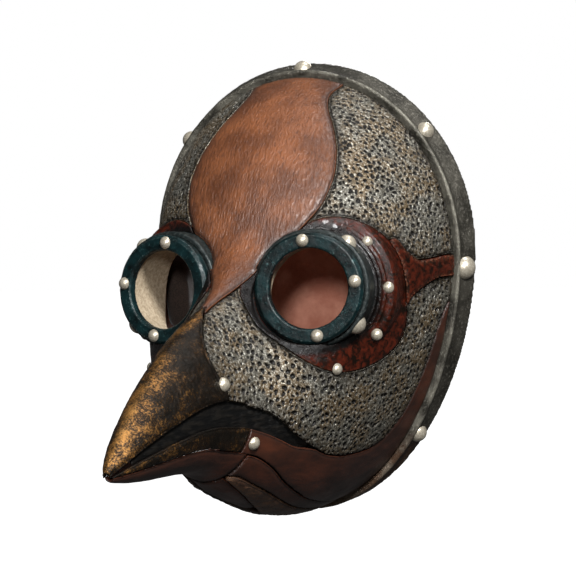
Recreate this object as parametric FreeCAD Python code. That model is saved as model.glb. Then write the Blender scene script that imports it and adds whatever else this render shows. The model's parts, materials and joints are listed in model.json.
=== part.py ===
"""Beaked plague doctor mask: riveted leather and metal panels on a lined shell.

Units are millimetres.  X points to the wearer's left, the face looks along -Y and Z is up.
The origin is the centre of the head opening, which lies flat in the plane y = 0.
"""
import FreeCAD
import Part
import math
import os

V = FreeCAD.Vector

# ---------------------------------------------------------------- driving dimensions
# The outer skin is a family of egg-shaped rings, numbered from the head opening (0) to the
# beak tip.  Each row: top point (y, z), bottom point (y, z), half width, height fraction of
# the widest place (0 = top), roundness of the upper half, roundness of the lower half.
RINGS = [
    ((0.0, 116.0), (0.0, -136.0), 97.0, 0.41, 2.0, 1.85),
    ((-14.0, 110.0), (-14.0, -134.5), 90.5, 0.41, 2.0, 1.85),
    ((-40.0, 97.5), (-44.0, -135.0), 81.5, 0.42, 2.0, 1.85),
    ((-66.0, 75.5), (-80.0, -130.0), 70.0, 0.44, 2.0, 1.9),
    ((-86.0, 48.0), (-110.0, -120.5), 57.0, 0.47, 1.8, 1.9),
    ((-101.0, 20.5), (-134.0, -111.0), 43.0, 0.53, 1.7, 2.0),
    ((-119.0, 3.0), (-150.0, -103.0), 32.0, 0.60, 1.6, 2.0),
    ((-142.0, -9.0), (-165.0, -96.0), 25.0, 0.66, 1.7, 2.0),
    ((-175.0, -22.5), (-187.0, -92.5), 20.0, 0.64, 1.8, 2.0),
    ((-212.0, -43.0), (-214.0, -91.0), 14.5, 0.62, 1.9, 2.0),
    ((-239.0, -62.0), (-238.0, -89.0), 9.0, 0.62, 2.0, 2.0),
    ((-254.0, -76.0), (-252.0, -87.0), 4.2, 0.60, 2.0, 2.0),
    ((-258.5, -81.5), (-256.0, -86.0), 1.7, 0.55, 2.0, 2.0),
]
BEAK_T = 2.2            # beak wall, thinner where the tip leaves no room
SKIN_T = 2.4            # thickness of the outer panels
MOUTH_FACE = -2.7       # depth of the black mouth lining's outer face below the skin
MOUTH_BACK = -4.4
SHELL_FACE = -4.8       # depth of the shell's outer face below the skin
SHELL_BACK = -7.2
SEAM = 0.35             # half gap between two neighbouring panels
RIM_OUT = 1.6           # how far the rim band stands above the panels
RIM_BACK = -4.5
BAND_END = 0.97         # ring number where the rim band ends and the panels begin

EYE = V(43.6, -109.0, -3.7)     # centre of the left bezel's front face
EYE_SPLAY = 10.0                # degrees outward
EYE_PITCH = 5.0                 # degrees upward
BEZEL_R = 29.6
HOLE_R = 21.4
BEZEL_T = 5.0
TUBE_R = 29.0
TUBE_BORE = 22.6
COLLAR_R = 31.8
COLLAR_FRONT = -6.2
COLLAR_BACK = -20.5
FLANGE_R = 42.0
FLANGE_FRONT = -21.0
FLANGE_DEEP = -70.0
CUT_GAP = 0.35
# Outline of the raised surround, (outward, up) from the eye axis, clockwise from the nose side.
SURROUND = [(-35.5, 2.0), (-29.0, 15.5), (-21.5, 24.5), (-8.5, 33.5), (6.3, 38.5), (21.2, 36.0),
            (34.0, 27.0), (41.5, 11.0), (42.6, -5.8), (41.5, -20.0), (37.2, -31.0), (27.0, -40.8), (14.6, -44.3),
            (-0.4, -38.2), (-13.4, -29.0), (-24.5, -19.5), (-32.0, -8.2)]

STUD_R = 2.5            # stud the head strap swings on
STUD_BASE_R = 6.5
STUD_BASE = (79.5, 85.6)
HEAD_RISE = 0.3         # rivet heads stand this far off their panels
STRAP_W = 18.0
STRAP_T = 2.5
STRAP_Y = -12.5         # centre of the hanging strap's width
PIVOT_X = 76.0          # where the long strap crosses the stud axis, z = 0
LEG_TILT = 15.0         # degrees inward from straight down
LEG = 62.0              # straight length below the stud
SHORT_LAYER = 5.0       # the short strap lies this far inside the long one
BAR_AT = 32.0           # buckle bar, distance down the leg
BAR_R = 1.3
FRAME_END = 50.0

# Panel edges: ring number -> angle in degrees, from the top (0) round to the chin (180).
FOREHEAD_EDGE = [(0.9, 18.5), (1.5, 17.5), (1.9, 20), (2.35, 28), (2.7, 34.5), (3.1, 39.5), (3.5, 41),
                 (3.95, 39), (4.4, 35), (5.0, 28), (5.6, 23.5), (6.3, 17), (7.1, 9)]
ARM_TOP = [(0.9, 91.5), (2.0, 86), (2.35, 79), (2.55, 73), (2.9, 73), (3.9, 66), (5.2, 29)]
ARM_BOTTOM = [(0.9, 97), (1.8, 94.6), (2.2, 95), (2.5, 97), (2.9, 94), (3.9, 80), (5.0, 38), (5.4, 25.5),
              (5.6, 23.5), (6.3, 17), (7.1, 9), (8.4, 5)]
CHEEK_EDGE = [(0.9, 101), (1.2, 105), (1.35, 110), (1.45, 117), (1.56, 123.5), (1.7, 130), (1.95, 134.5),
              (2.3, 137), (2.8, 137), (3.4, 135.8), (3.95, 132), (4.6, 124), (5.3, 111), (6.2, 94),
              (7.0, 80.5), (7.6, 76.5), (8.4, 75), (10.0, 74), (11.0, 76)]
KEEL_EDGE = [(6.2, 128), (7.0, 126), (8.0, 120), (10.0, 114), (11.7, 104)]
LOWER_LIP = [(3.9, 132.6), (4.5, 129), (5.1, 122), (6.25, 108), (7.0, 99), (8.0, 94), (9.0, 90.5),
             (10.0, 87), (11.0, 84)]
JAW_SEAM = [(0.9, 167.5), (2.4, 161), (3.3, 156), (4.1, 150), (5.1, 138), (5.9, 131), (6.7, 128)]
LEAF_OUTER = [(0.9, 171.5), (2.3, 167.5), (3.3, 163.5), (4.6, 157), (5.75, 153), (6.2, 158.5)]
LEAF_INNER = [(0.9, 179.5), (3.2, 179.5), (3.6, 176.5), (4.9, 167), (6.2, 160.6)]


# ---------------------------------------------------------------- the skin
def cubic(values, s):
    """Smooth curve through values at whole numbers."""
    last = len(values) - 1
    i = min(max(int(s), 0), last - 1)
    f = s - i
    b, c = values[i], values[i + 1]
    a = values[i - 1] if i > 0 else 2 * b - c
    d = values[i + 2] if i + 2 <= last else 2 * c - b
    return b + 0.5 * f * ((c - a) + f * ((2 * a - 5 * b + 4 * c - d) + f * (3 * (b - c) + d - a)))


COLUMNS = [[r[0][0] for r in RINGS], [r[0][1] for r in RINGS], [r[1][0] for r in RINGS],
           [r[1][1] for r in RINGS]] + [[r[k] for r in RINGS] for k in (2, 3, 4, 5)]


def skin(s, phi):
    """Point on the outer skin: ring number s, angle phi from the top towards +X."""
    y_top, z_top, y_low, z_low, wide, frac, n_up, n_low = [cubic(c, s) for c in COLUMNS]
    cos, sin = math.cos(math.radians(phi)), math.sin(math.radians(phi))
    y_mid = y_top + (y_low - y_top) * frac
    z_mid = z_top + (z_low - z_top) * frac
    power = 2.0 / (n_up if cos >= 0 else n_low)
    y_end, z_end = (y_top, z_top) if cos >= 0 else (y_low, z_low)
    rise = abs(cos) ** power
    x = wide * math.copysign(abs(sin) ** power, sin)
    return V(x, y_mid + (y_end - y_mid) * rise, z_mid + (z_end - z_mid) * rise)


def normal(s, phi):
    """Outward unit normal of the skin."""
    ds, dp = 0.03, 1.5
    along = skin(s + ds, phi) - skin(s - ds, phi)
    round_ = skin(s, phi + dp) - skin(s, phi - dp)
    n = along.cross(round_)
    n.normalize()
    return n


def edge(table, s):
    """Angle of a panel edge at ring number s, by smooth monotone steps through the table."""
    if s <= table[0][0]:
        return table[0][1]
    for k in range(len(table) - 1):
        (s0, a0), (s1, a1) = table[k], table[k + 1]
        if s <= s1:
            slope = (a1 - a0) / (s1 - s0)
            m0 = slope if k == 0 else joined(slope, table[k - 1], table[k])
            m1 = slope if k + 2 == len(table) else joined(slope, table[k + 1], table[k + 2])
            f = (s - s0) / (s1 - s0)
            h = s1 - s0
            return (a0 * (1 + 2 * f) * (1 - f) ** 2 + m0 * h * f * (1 - f) ** 2
                    + a1 * f * f * (3 - 2 * f) + m1 * h * f * f * (f - 1))
    return table[-1][1]


def joined(slope, first, second):
    """Shared slope at a table point: none at a peak, else the harmonic mean."""
    other = (second[1] - first[1]) / (second[0] - first[0])
    return 0.0 if slope * other <= 0 else 2 * slope * other / (slope + other)


def offset_angle(s, phi, gap):
    """Angle moved along the ring by gap millimetres."""
    step = (skin(s, phi + 0.5) - skin(s, phi - 0.5)).Length
    return phi + gap / max(step, 0.12)


# ---------------------------------------------------------------- solids from grids
def surface(grid):
    face = Part.BSplineSurface()
    face.interpolate(grid)
    return face


def block(front, back):
    """Closed solid between two point grids of equal size."""
    a, b = surface(front), surface(back)
    faces = [a.toShape(), b.toShape()]
    for cut in (lambda f: f.uIso(f.bounds()[0]), lambda f: f.uIso(f.bounds()[1]),
                lambda f: f.vIso(f.bounds()[2]), lambda f: f.vIso(f.bounds()[3])):
        faces.append(Part.makeRuledSurface(cut(a).toShape(), cut(b).toShape()))
    shell = Part.makeShell(faces)
    shell.sewShape()
    solid = Part.makeSolid(Part.Shell(shell.Faces) if shell.ShapeType != "Shell" else shell)
    if solid.Volume < 0:
        solid.reverse()
    return solid


def panel(low, high, s0, s1, out, back, rows, cols, lift=None):
    """Panel between the angle functions low(s) and high(s); s1 may depend on the cross position."""
    front_grid, back_grid = [], []
    for i in range(rows + 1):
        front_row, back_row = [], []
        for j in range(cols + 1):
            u, v = i / rows, j / cols
            start = s0(v) if callable(s0) else s0
            end = s1(v) if callable(s1) else s1
            s = start + (end - start) * u
            phi = low(s) + (high(s) - low(s)) * v
            p, n = skin(s, phi), normal(s, phi)
            rise = lift(u, v) if lift else 0.0
            front_row.append(p + n * (out + rise))
            back_row.append(p + n * (back(s) if callable(back) else back))
        front_grid.append(front_row)
        back_grid.append(back_row)
    return block(front_grid, back_grid)


def trim_block(depth, s0=1.0, s1=7.0, low=-40.0, high=165.0):
    """Everything behind the skin at the given depth, on the left side."""
    front, back = [], []
    for i in range(25):
        s = s0 + (s1 - s0) * i / 24
        row, far = [], []
        for j in range(21):
            phi = low + (high - low) * j / 20
            p = skin(s, phi) + normal(s, phi) * depth
            row.append(p)
            far.append(V(p.x, 60.0, p.z))
        front.append(row)
        back.append(far)
    return block(front, back)


def mirrored(shape):
    return shape.mirror(V(0, 0, 0), V(1, 0, 0))


def ring(r_in, r_out, z0, z1):
    outer = Part.makeCylinder(r_out, z1 - z0, V(0, 0, z0))
    return outer.cut(Part.makeCylinder(r_in, z1 - z0 + 2, V(0, 0, z0 - 1)))


def revolve(points):
    """Solid of revolution about local Z from (radius, height) points."""
    wire = Part.makePolygon([V(r, 0, z) for r, z in points + points[:1]])
    return Part.Face(wire).revolve(V(0, 0, 0), V(0, 0, 1), 360)


def dome(radius, height, stem_r, stem):
    """Rivet on local Z: low spherical head above z = 0 and a stem below."""
    big = (radius ** 2 + height ** 2) / (2 * height)
    ball = Part.makeSphere(big, V(0, 0, height - big))
    head = ball.common(Part.makeCylinder(radius + 1, height + 1))
    return head.fuse(Part.makeCylinder(stem_r, stem + 0.3, V(0, 0, -stem))).removeSplitter()


def placed(shape, origin, axis):
    """Copy of shape with local Z turned onto axis and local zero moved to origin."""
    turn = FreeCAD.Rotation(V(0, 0, 1), axis)
    out = shape.copy()
    out.Placement = FreeCAD.Placement(origin, turn)
    return out


def eye_axis():
    a, p = math.radians(EYE_SPLAY), math.radians(EYE_PITCH)
    return V(math.sin(a) * math.cos(p), -math.cos(a) * math.cos(p), math.sin(p))


AXIS = eye_axis()
EYE_RIGHT = V(1, 0, 0) - AXIS * AXIS.x          # local direction towards the wearer's left
EYE_RIGHT.normalize()
EYE_UP = EYE_RIGHT.cross(AXIS) * -1
if EYE_UP.z < 0:
    EYE_UP = EYE_UP * -1


def on_eye(radius, angle, depth):
    """Point at a radius and angle (0 outward, 90 up) about the eye axis."""
    a = math.radians(angle)
    return EYE + AXIS * depth + EYE_RIGHT * (radius * math.cos(a)) + EYE_UP * (radius * math.sin(a))


def around_eye(shape):
    return placed(shape, EYE, AXIS)


NODES = {}


def pair(name, left):
    NODES[name + "_left"] = left
    NODES[name + "_right"] = mirrored(left)


# ---------------------------------------------------------------- outer panels
def low_of(table, gap=SEAM):
    return lambda s: offset_angle(s, edge(table, s), gap)


def high_of(table, gap=SEAM):
    return lambda s: offset_angle(s, edge(table, s), -gap)


PANEL_START = BAND_END + 0.03


def eye_room(gap):
    """Stepped hole that clears the bezel and the collar."""
    return around_eye(Part.makeCylinder(COLLAR_R + gap, COLLAR_FRONT - FLANGE_DEEP + 0.6, V(0, 0, FLANGE_DEEP)).fuse(
        Part.makeCylinder(BEZEL_R + gap, 60, V(0, 0, COLLAR_FRONT))))


def surround_prism(gap):
    """Prism on the surround's outline, grown by gap, along the eye axis."""
    rows = [on_eye(math.hypot(a, b) + gap, math.degrees(math.atan2(b, a)), FLANGE_DEEP) for a, b in SURROUND]
    curve = Part.BSplineCurve()
    curve.interpolate(Points=rows, PeriodicFlag=True)
    return Part.Face(Part.Wire(curve.toShape())).extrude(AXIS * (24.0 - FLANGE_DEEP))


room = eye_room(CUT_GAP)
room_pair = [room, mirrored(room)]
envelope = surround_prism(CUT_GAP).fuse(room)


def beak_line(phi):
    """Ring number where the plates stop against the beak, bulging forward at the side."""
    v = min(abs(phi) / edge(CHEEK_EDGE, 7.3), 1.0)
    return 7.05 + 0.55 * math.sin(math.pi * v) + 0.30 * v


def cheek_end(v):
    low, high = edge(ARM_BOTTOM, 7.2), edge(CHEEK_EDGE, 7.3)
    return beak_line(low + (high - low) * v)




def forehead_end(v):
    return beak_line((2 * v - 1) * edge(FOREHEAD_EDGE, 7.1)) - 0.03


forehead = panel(lambda s: -high_of(FOREHEAD_EDGE)(s), high_of(FOREHEAD_EDGE), PANEL_START, forehead_end,
                 0.0, -SKIN_T, 30, 20)
for cutter in room_pair:
    forehead = forehead.cut(cutter)
NODES["forehead_panel"] = forehead

temple = panel(low_of(FOREHEAD_EDGE), high_of(ARM_TOP), PANEL_START, 5.0, 0.0, -SKIN_T, 30, 16)
temple = temple.cut(envelope)
pair("temple_plate", sorted(temple.Solids, key=lambda solid: solid.Volume)[-1])

arm = panel(low_of(ARM_TOP), high_of(ARM_BOTTOM), PANEL_START, 2.85, 1.4, -SKIN_T, 20, 8)
pair("goggle_arm", sorted(arm.cut(envelope).Solids, key=lambda solid: solid.Volume)[-1])

cheek = panel(low_of(ARM_BOTTOM), high_of(CHEEK_EDGE), PANEL_START, cheek_end, 0.0, -SKIN_T, 56, 22)
cheek = cheek.cut(envelope)
pair("cheek_plate", cheek)


def jaw_top(s):
    table = CHEEK_EDGE if s < 3.95 else LOWER_LIP
    return offset_angle(s, edge(table, s), SEAM)


pair("jaw_panel", panel(jaw_top, high_of(JAW_SEAM), PANEL_START, 6.5, 0.0, -SKIN_T, 50, 10))
pair("lower_jaw_panel", panel(low_of(JAW_SEAM), high_of(LEAF_OUTER), PANEL_START, 6.1, 0.0, -SKIN_T, 30, 8))
pair("chin_plate", panel(low_of(LEAF_OUTER), high_of(LEAF_INNER), PANEL_START, 6.0, 0.6, -SKIN_T, 30, 6))
NODES["chin_strip"] = panel(lambda s: offset_angle(s, edge(LEAF_INNER, s), SEAM),
                            lambda s: 360 - offset_angle(s, edge(LEAF_INNER, s), SEAM),
                            3.7, 6.1, 0.0, -SKIN_T, 14, 10)

# ---------------------------------------------------------------- beak


def beak_start(v):
    """Ring number of the beak's back edge across its width, matching the cheek plates."""
    return beak_line((2 * v - 1) * edge(CHEEK_EDGE, 7.3)) + 0.04


def upper_lip(s):
    return high_of(CHEEK_EDGE)(s)


def beak_back(s):
    return -min(BEAK_T, 0.42 * cubic(COLUMNS[4], s))


NODES["beak_upper"] = panel(lambda s: -upper_lip(s), upper_lip, beak_start, 12.0, 0.6, beak_back, 30, 28)
pair("beak_lower", panel(low_of(LOWER_LIP), high_of(KEEL_EDGE), 6.58, 11.75, 0.6, beak_back, 26, 8))
NODES["beak_keel"] = panel(low_of(KEEL_EDGE), lambda s: 360 - low_of(KEEL_EDGE)(s), 6.2, 11.6, 0.0,
                           beak_back, 26, 16)
pair("mouth_liner", panel(lambda s: edge(CHEEK_EDGE, s) - 6, lambda s: edge(LOWER_LIP, s) + 6, 4.1, 10.2,
                          MOUTH_FACE, MOUTH_BACK, 24, 5))


# ---------------------------------------------------------------- rim band and inner shell
band = panel(lambda s: 180.12, lambda s: 539.88, -0.2, BAND_END, RIM_OUT, RIM_BACK, 8, 96,
             lambda u, v: 1.2 * math.exp(-((u - 0.93) / 0.07) ** 2))
behind = Part.makeBox(400, 60, 400, V(-200, 0, -200))
NODES["rim_band"] = band.cut(behind)

tube_hole = around_eye(Part.makeCylinder(TUBE_R + CUT_GAP, 130, V(0, 0, -90)))
liner = panel(lambda s: 180.15, lambda s: 539.85, 0.25, 6.95, SHELL_FACE, SHELL_BACK, 30, 72)
collar_hole = around_eye(Part.makeCylinder(COLLAR_R + CUT_GAP, COLLAR_FRONT - COLLAR_BACK + 2 * CUT_GAP,
                                           V(0, 0, COLLAR_BACK - CUT_GAP)).fuse(
    Part.makeCylinder(BEZEL_R + CUT_GAP, 60, V(0, 0, COLLAR_FRONT))))
for hole in (tube_hole, collar_hole):
    liner = liner.cut(hole).cut(mirrored(hole))
NODES["shell_liner"] = liner

# ---------------------------------------------------------------- goggles
pair("goggle_bezel", around_eye(revolve([
    (HOLE_R, -BEZEL_T), (HOLE_R, -0.8), (HOLE_R + 0.8, 0.0), (BEZEL_R - 1.6, 0.0), (BEZEL_R, -1.6),
    (BEZEL_R, -BEZEL_T)])))
tube = around_eye(ring(TUBE_BORE, TUBE_R, -75.0, -BEZEL_T - 0.05)).cut(trim_block(SHELL_BACK - 1.5))
pair("goggle_tube", sorted(tube.Solids, key=lambda solid: solid.Volume)[-1])
pair("goggle_collar", around_eye(revolve([
    (TUBE_R + 0.05, COLLAR_BACK), (TUBE_R + 0.05, COLLAR_FRONT), (COLLAR_R - 0.8, COLLAR_FRONT),
    (COLLAR_R, COLLAR_FRONT - 0.8), (COLLAR_R, COLLAR_BACK)])))
STEPS = [(33.0, -23.0), (35.0, -24.6), (37.0, -26.2)]
profile = [(TUBE_R + 0.05, FLANGE_DEEP), (TUBE_R + 0.05, FLANGE_FRONT), (31.4, FLANGE_FRONT)]
for radius, height in STEPS:
    profile.append((radius, profile[-1][1] - 0.5))
    profile.append((radius, height))
profile += [(FLANGE_R - 1.4, -27.4), (FLANGE_R, -29.2), (FLANGE_R, FLANGE_DEEP)]
flange = around_eye(revolve(profile)).cut(trim_block(MOUTH_FACE + 0.1)).common(surround_prism(0.0))
flange = max(flange.Solids, key=lambda solid: solid.BoundBox.XMax)
surround = panel(low_of(FOREHEAD_EDGE), lambda s: 128.0, 1.9, 6.7, 0.5, MOUTH_FACE + 0.2, 36, 22)
surround = surround.common(surround_prism(0.0)).cut(eye_room(0.1))
forehead_room = panel(lambda s: -20.0, lambda s: offset_angle(s, edge(FOREHEAD_EDGE, s), SEAM), 1.0, 7.0,
                      14.0, MOUTH_FACE, 30, 20)
flange = flange.fuse(surround).cut(forehead_room).removeSplitter()
pair("goggle_flange", max(flange.Solids, key=lambda solid: solid.Volume))


# ---------------------------------------------------------------- rivets
def rivet(point, axis, radius, height=0.72, stem=2.1):
    return placed(dome(radius, radius * height, radius * 0.38, stem), point, axis)


def set_rivets(name, places, holed):
    """Rivet group from (point, axis, radius) places, with a seat for each rivet in the holed nodes."""
    heads = [rivet(point + axis * HEAD_RISE, axis, radius) for point, axis, radius in places]
    for node in holed:
        for point, axis, radius in places:
            seat = rivet(point + axis * (HEAD_RISE - 0.05), axis, radius + 0.1, stem=2.4)
            NODES[node] = NODES[node].cut(seat)
    NODES[name] = Part.makeCompound(heads)


def on_skin(s, phi, out, radius):
    axis = normal(s, phi)
    return (skin(s, phi) + axis * out, axis, radius)


def across(place):
    point, axis, radius = place
    return (V(-point.x, point.y, point.z), V(-axis.x, axis.y, axis.z), radius)


RIM_RIVETS = [(50.7, 5.0), (95.6, 6.4), (137.0, 5.2)]
rim_places = [on_skin(0.5, 0.0, RIM_OUT, 5.2)]
for angle, radius in RIM_RIVETS:
    rim_places.append(on_skin(0.5, angle, RIM_OUT, radius))
    rim_places.append(across(rim_places[-1]))
set_rivets("rim_rivets", rim_places, ["rim_band"])

BEZEL_RIVETS = [97.0, 8.0, -79.0]
COLLAR_RIVETS = [(51.5, 4.8), (-38.5, 5.3)]
COLLAR_RIVET_DEPTH = -10.6
FLANGE_RIVETS = [(44.0, 36.0), (1.0, 37.5), (-38.0, 39.6)]
LOW_RIVET = (4.08, 100.5)
bezel_places = [(on_eye(25.5, angle, 0.0), AXIS, 3.4) for angle in BEZEL_RIVETS]
collar_places = []
for angle, radius in COLLAR_RIVETS:
    spot = on_eye(COLLAR_R - 0.6, angle, COLLAR_RIVET_DEPTH)
    collar_places.append((spot, (spot - on_eye(0, 0, COLLAR_RIVET_DEPTH)).normalize(), radius))
flange_places = [(on_eye(radius, angle, -26.7), AXIS, 3.2) for angle, radius in FLANGE_RIVETS]
flange_places.append(on_skin(*LOW_RIVET, 0.5, 3.2))
for side, turn in (("left", lambda place: place), ("right", across)):
    set_rivets("bezel_rivets_" + side, [turn(p) for p in bezel_places], ["goggle_bezel_" + side])
    set_rivets("collar_rivets_" + side, [turn(p) for p in collar_places], ["goggle_collar_" + side])
    set_rivets("flange_rivets_" + side, [turn(p) for p in flange_places], ["goggle_flange_" + side])
    beak_places = [turn(on_skin(7.55, 66.0, 0.0, 3.8))]
    jaw_places = [turn(on_skin(6.2, 119.0, 0.0, 3.6))]
    set_rivets("cheek_rivet_" + side, beak_places, ["cheek_plate_" + side, "beak_upper"])
    set_rivets("jaw_rivet_" + side, jaw_places, ["jaw_panel_" + side, "beak_lower_" + side])
    NODES["beak_keel"] = NODES["beak_keel"].cut(NODES["jaw_panel_" + side])

# ---------------------------------------------------------------- pads inside
PAD_FACE, PAD_BACK, TEMPLE_BACK = -7.6, -14.5, -21.0
NODES["brow_pad"] = panel(lambda s: -33.0, lambda s: 33.0, 1.7, 2.75, PAD_FACE, PAD_BACK, 8, 16)
pair("temple_pad", panel(lambda s: 79.0, lambda s: 103.0, 1.75, 2.6, PAD_FACE, TEMPLE_BACK, 8, 8))
pair("cheek_pad", panel(lambda s: 107.0, lambda s: 129.0, 1.7, 2.75, PAD_FACE, PAD_BACK, 8, 8))

# ---------------------------------------------------------------- head strap
tilt = math.radians(LEG_TILT)
DOWN = {1: V(-math.sin(tilt), 0, -math.cos(tilt)), -1: V(math.sin(tilt), 0, -math.cos(tilt))}
INWARD = {1: V(-math.cos(tilt), 0, math.sin(tilt)), -1: V(math.cos(tilt), 0, math.sin(tilt))}


def leg_point(side, down, inward=0.0, y=STRAP_Y):
    """Point beside a strap leg: side is +1 left or -1 right."""
    base = V(side * PIVOT_X, y, 0)
    return base + DOWN[side] * down + INWARD[side] * inward


def leg_box(side, start, end, layer, width, thick):
    """Flat bar along a leg, centred on the layer."""
    corners = [leg_point(side, start, layer - thick / 2, STRAP_Y - width / 2),
               leg_point(side, end, layer - thick / 2, STRAP_Y - width / 2),
               leg_point(side, end, layer + thick / 2, STRAP_Y - width / 2),
               leg_point(side, start, layer + thick / 2, STRAP_Y - width / 2)]
    return Part.Face(Part.makePolygon(corners + corners[:1])).extrude(V(0, width, 0))


def round_tab(side, layer, radius, thick):
    """Rounded strap end about the stud axis."""
    spot = leg_point(side, 0, layer - thick / 2)
    return Part.makeCylinder(radius, thick, spot, INWARD[side])


end = leg_point(1, LEG)
arc_r = end.x / math.cos(tilt)
arc_z = end.z + arc_r * math.sin(tilt)
arc = Part.makeCylinder(arc_r + STRAP_T / 2, STRAP_W, V(0, STRAP_Y - STRAP_W / 2, arc_z), V(0, 1, 0)).cut(
    Part.makeCylinder(arc_r - STRAP_T / 2, STRAP_W, V(0, STRAP_Y - STRAP_W / 2, arc_z), V(0, 1, 0)))
wedge = Part.makePolygon([V(0, -50, arc_z), leg_point(1, LEG, -60, -50), V(300, -50, -300), V(-300, -50, -300),
                          leg_point(-1, LEG, -60, -50), V(0, -50, arc_z)])
arc = arc.common(Part.Face(wedge).extrude(V(0, 100, 0)))
TIP_AT = 9.0
long_strap = arc.fuse([leg_box(1, 0, LEG, 0, STRAP_W, STRAP_T), round_tab(1, 0, STRAP_W / 2, STRAP_T),
                       leg_box(-1, TIP_AT, LEG, 0, STRAP_W, STRAP_T)]).removeSplitter()
short_strap = leg_box(-1, 0, BAR_AT, SHORT_LAYER, STRAP_W, STRAP_T).fuse(
    [round_tab(-1, SHORT_LAYER, STRAP_W / 2, STRAP_T),
     Part.makeCylinder(3.2, STRAP_W, leg_point(-1, BAR_AT, SHORT_LAYER, STRAP_Y - STRAP_W / 2), V(0, 1, 0))])
short_strap = short_strap.cut(Part.makeCylinder(BAR_R + 0.05, 40, leg_point(-1, BAR_AT, SHORT_LAYER, -40), V(0, 1, 0)))
prong_gap = leg_box(-1, BAR_AT - 4.5, BAR_AT + 8, SHORT_LAYER, 5.0, 8.0)
short_strap = short_strap.cut(prong_gap)

studs, eyelets = {}, {}
for side in (1, -1):
    layer = 0.0 if side == 1 else SHORT_LAYER
    cross_x = PIVOT_X - layer / math.cos(tilt)
    inner = cross_x - 4.6
    post = Part.makeCylinder(STUD_R, STUD_BASE[0] - inner, V(side * inner, STRAP_Y, 0), V(side, 0, 0))
    base = Part.makeCylinder(STUD_BASE_R, STUD_BASE[1] - STUD_BASE[0], V(side * STUD_BASE[0], STRAP_Y, 0),
                             V(side, 0, 0))
    head = Part.makeCylinder(5.0, 1.4, V(side * (inner - 1.4), STRAP_Y, 0), V(side, 0, 0))
    studs[side] = post.fuse([base, head]).removeSplitter()
    start = V(side * (cross_x - 2.6), STRAP_Y, 0)
    barrel = Part.makeCylinder(4.0, 5.2, start, V(side, 0, 0))
    eyelets[side] = barrel.cut(Part.makeCylinder(STUD_R + 0.06, 5.4, start - V(side * 0.1, 0, 0), V(side, 0, 0)))
    hole = Part.makeCylinder(4.05, 12, V(side * (cross_x - 6), STRAP_Y, 0), V(side, 0, 0))
    if side == 1:
        long_strap = long_strap.cut(hole)
    else:
        short_strap = short_strap.cut(hole)
    socket = Part.makeCylinder(STUD_BASE_R + 0.05, 30, V(side * STUD_BASE[0], STRAP_Y, 0), V(side, 0, 0))
    socket = socket.common(Part.makeBox(STUD_BASE[1] + 0.05 - STUD_BASE[0], 60, 60,
                                        V(STUD_BASE[0] if side == 1 else -STUD_BASE[1] - 0.05, -50, -30)))
    NODES["rim_band"] = NODES["rim_band"].cut(socket)
    NODES["shell_liner"] = NODES["shell_liner"].cut(socket)
for down in (23.0, 47.0, 56.0):
    long_strap = long_strap.cut(Part.makeCylinder(1.6, 12, leg_point(-1, down, -5), INWARD[-1]))
long_strap = long_strap.cut(leg_box(-1, BAR_AT - 3.0, BAR_AT + 6.8, 0, 3.6, 8))
NODES["strap_long"] = long_strap
NODES["strap_short"] = short_strap
NODES["strap_eyelets"] = Part.makeCompound([eyelets[1], eyelets[-1]])
NODES["strap_stud_left"] = studs[1]
NODES["strap_stud_right"] = studs[-1]

# crown strap: hangs from a bracket inside the top of the band and carries the padded back plate
CROWN_Y, CROWN_Z = -10.0, 99.0
PIN_R = 1.5
EAR_X = 15.0
CROWN_W, CROWN_T = 26.0, 2.2
PLATE = (84.0, 7.0, 92.0)
PLATE_TOP = 26.0
bracket = Part.makeCylinder(PIN_R, 2 * EAR_X + 2, V(-EAR_X - 1, CROWN_Y, CROWN_Z), V(1, 0, 0))
ears = []
for k in (-1, 1):
    ear = Part.makeCylinder(3.6, 2.0, V(k * EAR_X - 1, CROWN_Y, CROWN_Z), V(1, 0, 0))
    post = Part.makeBox(2.0, 6.0, 7.6, V(k * EAR_X - 1, CROWN_Y - 2.4, CROWN_Z))
    ears += [ear, post]
NODES["crown_bracket"] = bracket.fuse(ears).removeSplitter()
for k in (-1, 1):
    slot = Part.makeBox(2.1, 6.1, 7.7, V(k * EAR_X - 1.05, CROWN_Y - 2.45, CROWN_Z))
    NODES["rim_band"] = NODES["rim_band"].cut(slot)
    NODES["shell_liner"] = NODES["shell_liner"].cut(slot)
crown = Part.makeCylinder(PIN_R + 1.9, CROWN_W, V(-CROWN_W / 2, CROWN_Y, CROWN_Z), V(1, 0, 0)).fuse(
    Part.makeBox(CROWN_W, CROWN_T, CROWN_Z - PLATE_TOP + 22, V(-CROWN_W / 2, CROWN_Y - CROWN_T / 2, PLATE_TOP - 22)))
crown = crown.cut(Part.makeCylinder(PIN_R + 0.06, 60, V(-30, CROWN_Y, CROWN_Z), V(1, 0, 0)))
NODES["crown_strap"] = crown
plate = Part.makeBox(PLATE[0], PLATE[1], PLATE[2], V(-PLATE[0] / 2, CROWN_Y - CROWN_T / 2 - 0.05 - PLATE[1],
                                                   PLATE_TOP - PLATE[2]))
upright = [e for e in plate.Edges if abs(e.Vertexes[0].Y - e.Vertexes[1].Y) > PLATE[1] - 0.1]
plate = plate.makeFillet(18.0, upright)
NODES["nape_pad"] = plate
crown_places = [(V(x, CROWN_Y + CROWN_T / 2, PLATE_TOP - 8.0 - dz), V(0, 1, 0), 2.6)
                for x in (-8.0, 8.0) for dz in (0.0, 9.0)]
set_rivets("crown_rivets", crown_places, ["crown_strap"])

# buckle: the bar lies in the short strap's loop, the far end rests on the long strap
FRAME_HALF = 11.0
WIRE = 1.2
bar_a = leg_point(-1, BAR_AT, SHORT_LAYER, STRAP_Y - FRAME_HALF - WIRE)
far_a = leg_point(-1, FRAME_END, -2.9, STRAP_Y - FRAME_HALF - WIRE)
wide = V(0, 2 * (FRAME_HALF + WIRE), 0)


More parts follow.
